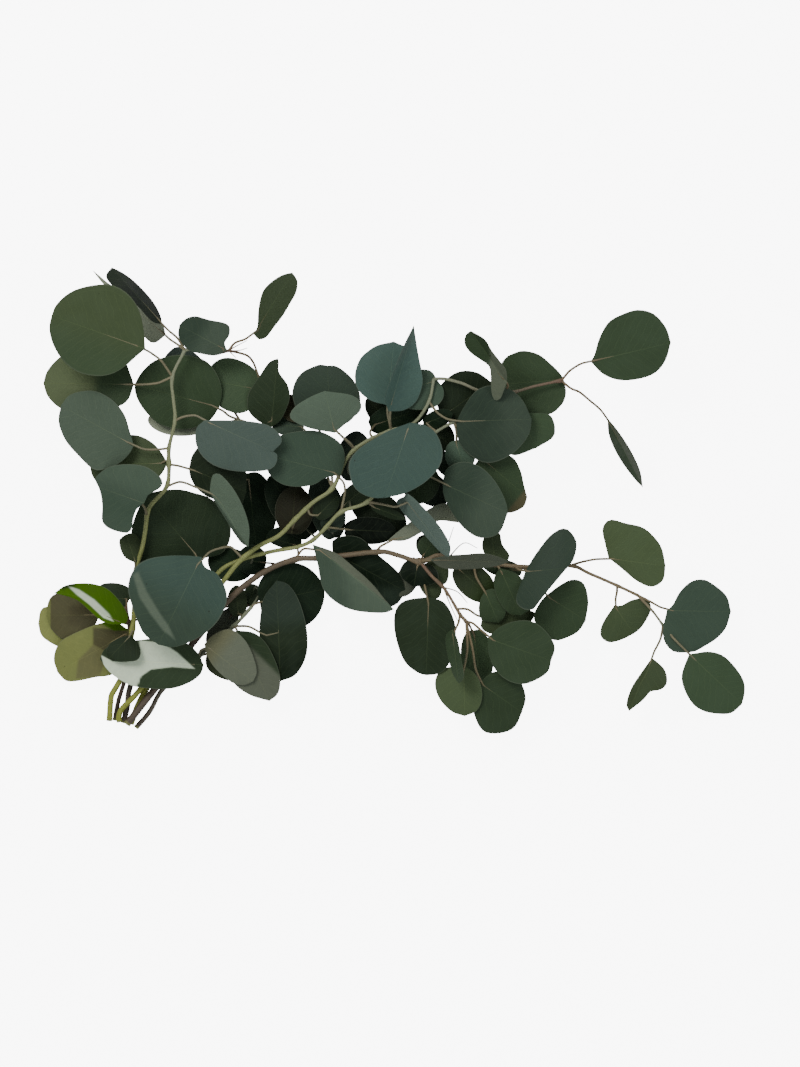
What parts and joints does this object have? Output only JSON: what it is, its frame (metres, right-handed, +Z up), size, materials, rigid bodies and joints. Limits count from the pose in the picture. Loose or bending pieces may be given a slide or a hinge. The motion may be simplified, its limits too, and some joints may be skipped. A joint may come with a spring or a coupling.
{
  "type": "eucalyptus branch",
  "caption": "Bunch of cut eucalyptus branches lying flat, with round blue-green silver-dollar leaves on thin brown and green stems.",
  "frame": {"origin": "centre of the bounding box in plan, on the surface the bunch lies on", "axes": "+X along the bunch from the cut stem ends on the left to the leafy tips on the right, +Y away from the reader, +Z up from the surface"},
  "size_m": [0.5698, 0.3724, 0.1119],
  "materials": {
    "left_foliage": "satin",
    "inner_foliage": "satin",
    "upper_foliage": "satin",
    "middle_foliage": "satin",
    "right_foliage": "satin",
    "lower_foliage": "satin",
    "short_foliage": "satin"
  },
  "bodies": {
    "root": {"left_stem": "left_foliage", "inner_stem": "inner_foliage", "upper_stem": "upper_foliage", "middle_stem": "middle_foliage", "right_stem": "right_foliage", "lower_stem": "lower_foliage", "short_stem": "short_foliage"}
  },
  "joints": []
}
